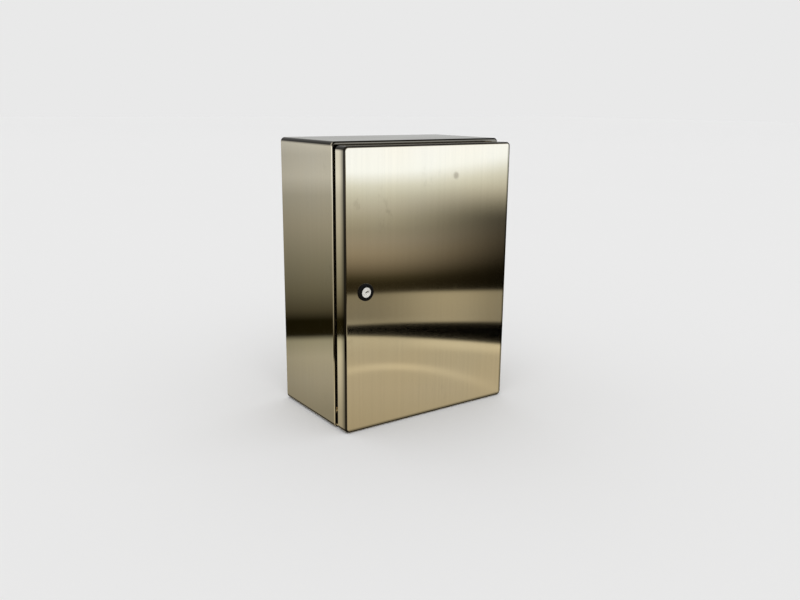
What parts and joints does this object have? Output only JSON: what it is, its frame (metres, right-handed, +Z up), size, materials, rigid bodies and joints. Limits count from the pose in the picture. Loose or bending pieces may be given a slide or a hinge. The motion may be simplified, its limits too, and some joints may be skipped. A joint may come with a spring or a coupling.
{
  "type": "electrical enclosure cabinet",
  "caption": "Wall-mounted stainless switchboard cabinet: folded body, hinged pan door with a cam lock, mounting plate, rails and modular switchgear.",
  "frame": {"origin": "middle of the bounding box, on the plane of the cabinet's base", "axes": "+Z up; +Y into the wall, so the door faces -Y; +X towards the door's hinges"},
  "size_m": [0.36, 0.2236, 0.5],
  "materials": {
    "stainless_body": "warm vertical-grain brushed stainless sheet, folded",
    "stainless_door": "warm vertical-grain brushed stainless sheet, bright",
    "seal_foam": "black foamed sealing strip",
    "galvanised": "galvanised sheet with a faint spangle",
    "zinc_plated": "bright zinc plating",
    "hinge_steel": "satin stainless castings and pins",
    "standoff_aluminium": "turned aluminium",
    "lock_black": "black moulded lock body",
    "lock_chrome": "bright plated key insert",
    "lock_nut_zinc": "die-cast nut",
    "device_grey": "light grey moulded device case",
    "lever_red": "red moulded lever",
    "lever_blue": "blue moulded lever",
    "lever_black": "black moulded lever",
    "button_yellow": "yellow moulded button",
    "terminal_grey": "grey moulded terminals",
    "bar_brass": "drawn brass bar",
    "comb_copper": "bare copper comb",
    "comb_cover_grey": "grey extruded insulation",
    "support_blue": "blue moulded support",
    "support_green": "green moulded support"
  },
  "bodies": {
    "cabinet": {"enclosure_body": "stainless_body", "rear_panel": "stainless_body", "gland_plate": "stainless_body", "gland_plate_seal": "seal_foam", "gland_plate_studs": "zinc_plated", "gland_plate_nuts": "zinc_plated", "body_earth_stud": "zinc_plated", "body_earth_nut": "zinc_plated", "mounting_plate": "galvanised", "plate_studs": "zinc_plated", "plate_standoffs": "standoff_aluminium", "plate_washers": "zinc_plated", "plate_nuts": "zinc_plated", "upper_mounting_rail": "zinc_plated", "lower_mounting_rail": "zinc_plated", "rail_screws": "zinc_plated", "lower_hinge_body_leaf": "hinge_steel", "upper_hinge_body_leaf": "hinge_steel", "lower_hinge_pin": "hinge_steel", "upper_hinge_pin": "hinge_steel", "hinge_body_screws": "zinc_plated", "main_switch_case": "device_grey", "rcd_case": "device_grey", "three_pole_breaker_case": "device_grey", "breaker_1_case": "device_grey", "breaker_2_case": "device_grey", "breaker_3_case": "device_grey", "clamp_screws": "zinc_plated", "comb_busbar": "comb_copper", "comb_cover": "comb_cover_grey", "terminal_blocks": "terminal_grey", "end_clamps": "terminal_grey", "neutral_bar": "bar_brass", "neutral_bar_supports": "support_blue", "earth_bar": "bar_brass", "earth_bar_supports": "support_green", "bar_screws": "zinc_plated"},
    "door": {"door_panel": "stainless_door", "door_seal": "seal_foam", "door_rail_left": "galvanised", "door_rail_right": "galvanised", "lock_housing": "lock_black", "lock_seal": "seal_foam", "lock_nut": "lock_nut_zinc", "lower_hinge_door_leaf": "hinge_steel", "upper_hinge_door_leaf": "hinge_steel", "hinge_door_studs": "zinc_plated", "hinge_door_nuts": "zinc_plated", "door_earth_stud": "zinc_plated", "door_earth_nut": "zinc_plated"},
    "lock": {"lock_insert": "lock_chrome", "lock_cam": "zinc_plated", "lock_cam_screw": "zinc_plated"},
    "main_switch_lever": {"main_switch_lever": "lever_red"},
    "rcd_lever": {"rcd_lever": "lever_blue"},
    "three_pole_breaker_lever": {"three_pole_breaker_lever": "lever_black"},
    "breaker_1_lever": {"breaker_1_lever": "lever_black"},
    "breaker_2_lever": {"breaker_2_lever": "lever_black"},
    "breaker_3_lever": {"breaker_3_lever": "lever_black"},
    "rcd_test_button": {"rcd_test_button": "button_yellow"}
  },
  "joints": [
    {"name": "door_hinge", "type": "hinge", "parent": "cabinet", "child": "door", "pos_m": [0.1735, -0.0882, 0.25], "axis": [0, 0, 1], "range_deg": [0, 120]},
    {"name": "lock_turn", "type": "hinge", "parent": "door", "child": "lock", "pos_m": [-0.1385, -0.0687, 0.25], "axis": [0, -1, 0], "range_deg": [0, 90]},
    {"name": "main_switch_toggle", "type": "hinge", "parent": "cabinet", "child": "main_switch_lever", "pos_m": [-0.0875, 0.0278, 0.35], "axis": [-1, 0, 0], "range_deg": [0, 70]},
    {"name": "rcd_toggle", "type": "hinge", "parent": "cabinet", "child": "rcd_lever", "pos_m": [-0.00875, 0.0278, 0.35], "axis": [-1, 0, 0], "range_deg": [0, 70]},
    {"name": "three_pole_breaker_toggle", "type": "hinge", "parent": "cabinet", "child": "three_pole_breaker_lever", "pos_m": [0.035, 0.0278, 0.35], "axis": [-1, 0, 0], "range_deg": [0, 70]},
    {"name": "breaker_1_toggle", "type": "hinge", "parent": "cabinet", "child": "breaker_1_lever", "pos_m": [0.07, 0.0278, 0.35], "axis": [-1, 0, 0], "range_deg": [0, 70]},
    {"name": "breaker_2_toggle", "type": "hinge", "parent": "cabinet", "child": "breaker_2_lever", "pos_m": [0.0875, 0.0278, 0.35], "axis": [-1, 0, 0], "range_deg": [0, 70]},
    {"name": "breaker_3_toggle", "type": "hinge", "parent": "cabinet", "child": "breaker_3_lever", "pos_m": [0.105, 0.0278, 0.35], "axis": [-1, 0, 0], "range_deg": [0, 70]},
    {"name": "rcd_test_press", "type": "slide", "parent": "cabinet", "child": "rcd_test_button", "axis": [0, 1, 0], "range_m": [0, 0.0015], "stiffness_N_per_m": 300, "springref_m": -0.001}
  ]
}
